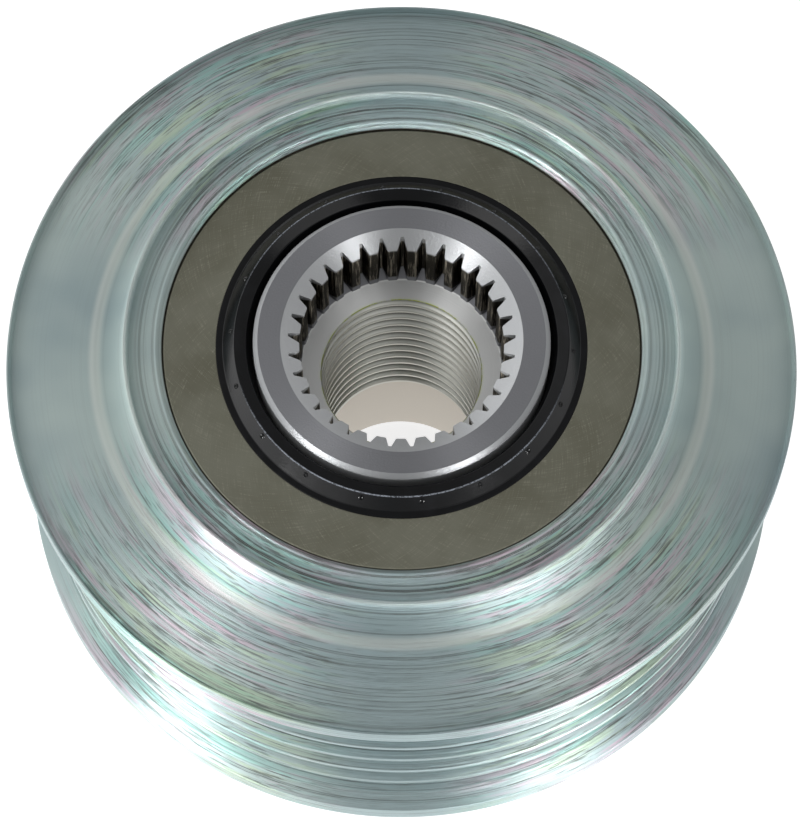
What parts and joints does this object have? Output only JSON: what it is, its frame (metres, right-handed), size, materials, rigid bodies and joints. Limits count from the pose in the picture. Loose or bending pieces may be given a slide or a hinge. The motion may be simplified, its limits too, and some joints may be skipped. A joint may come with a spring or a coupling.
{
  "type": "overrunning alternator pulley",
  "caption": "Plated ribbed-belt pulley on a one-way clutch and needle bearings, with a splined and threaded hub that screws onto a generator shaft.",
  "frame": {"origin": "centre of the hub's rear face, which the part stands on", "axes": "+Z along the axis of rotation, from the rear towards the serrated front of the hub; X and Y have no preferred direction"},
  "size_m": [0.07, 0.07, 0.041],
  "materials": {
    "zinc_plate": "bright zinc plate over turned steel",
    "ground_ring": "ground hardened steel, oiled",
    "hub_steel": "ground steel",
    "hard_steel": "polished hardened steel",
    "spring_steel": "rolled strip",
    "cage_nylon": "moulded",
    "seal_rubber": "smooth moulded"
  },
  "bodies": {
    "hub": {"inner_ring": "hub_steel", "ramp_sleeve": "hard_steel", "clutch_cage": "cage_nylon", "clutch_roller_1": "hard_steel", "clutch_roller_2": "hard_steel", "clutch_roller_3": "hard_steel", "clutch_roller_4": "hard_steel", "clutch_roller_5": "hard_steel", "clutch_roller_6": "hard_steel", "clutch_roller_7": "hard_steel", "clutch_roller_8": "hard_steel", "clutch_roller_9": "hard_steel", "clutch_roller_10": "hard_steel", "clutch_spring_1": "spring_steel", "clutch_spring_2": "spring_steel", "clutch_spring_3": "spring_steel", "clutch_spring_4": "spring_steel", "clutch_spring_5": "spring_steel", "clutch_spring_6": "spring_steel", "clutch_spring_7": "spring_steel", "clutch_spring_8": "spring_steel", "clutch_spring_9": "spring_steel", "clutch_spring_10": "spring_steel"},
    "pulley_body": {"pulley": "zinc_plate", "outer_ring": "ground_ring", "front_washer": "hard_steel", "rear_washer": "hard_steel", "front_seal": "seal_rubber", "rear_seal": "seal_rubber"},
    "front_needle_row": {"front_needle_cage": "cage_nylon", "front_needle_1": "hard_steel", "front_needle_2": "hard_steel", "front_needle_3": "hard_steel", "front_needle_4": "hard_steel", "front_needle_5": "hard_steel", "front_needle_6": "hard_steel", "front_needle_7": "hard_steel", "front_needle_8": "hard_steel", "front_needle_9": "hard_steel", "front_needle_10": "hard_steel", "front_needle_11": "hard_steel", "front_needle_12": "hard_steel", "front_needle_13": "hard_steel", "front_needle_14": "hard_steel"},
    "rear_needle_row": {"rear_needle_cage": "cage_nylon", "rear_needle_1": "hard_steel", "rear_needle_2": "hard_steel", "rear_needle_3": "hard_steel", "rear_needle_4": "hard_steel", "rear_needle_5": "hard_steel", "rear_needle_6": "hard_steel", "rear_needle_7": "hard_steel", "rear_needle_8": "hard_steel", "rear_needle_9": "hard_steel", "rear_needle_10": "hard_steel", "rear_needle_11": "hard_steel", "rear_needle_12": "hard_steel", "rear_needle_13": "hard_steel", "rear_needle_14": "hard_steel"}
  },
  "joints": [
    {"name": "pulley_spin", "type": "hinge", "parent": "hub", "child": "pulley_body", "pos_m": [0, 0, 0.02435], "axis": [0, 0, 1], "continuous": true},
    {"name": "front_row_spin", "type": "hinge", "parent": "hub", "child": "front_needle_row", "pos_m": [0, 0, 0.0318], "axis": [0, 0, 1], "continuous": true},
    {"name": "rear_row_spin", "type": "hinge", "parent": "hub", "child": "rear_needle_row", "pos_m": [0, 0, 0.0092], "axis": [0, 0, 1], "continuous": true}
  ],
  "couplings": [
    {"joint": "front_row_spin", "follows": "pulley_spin", "ratio": 0.55078},
    {"joint": "rear_row_spin", "follows": "pulley_spin", "ratio": 0.55078}
  ]
}
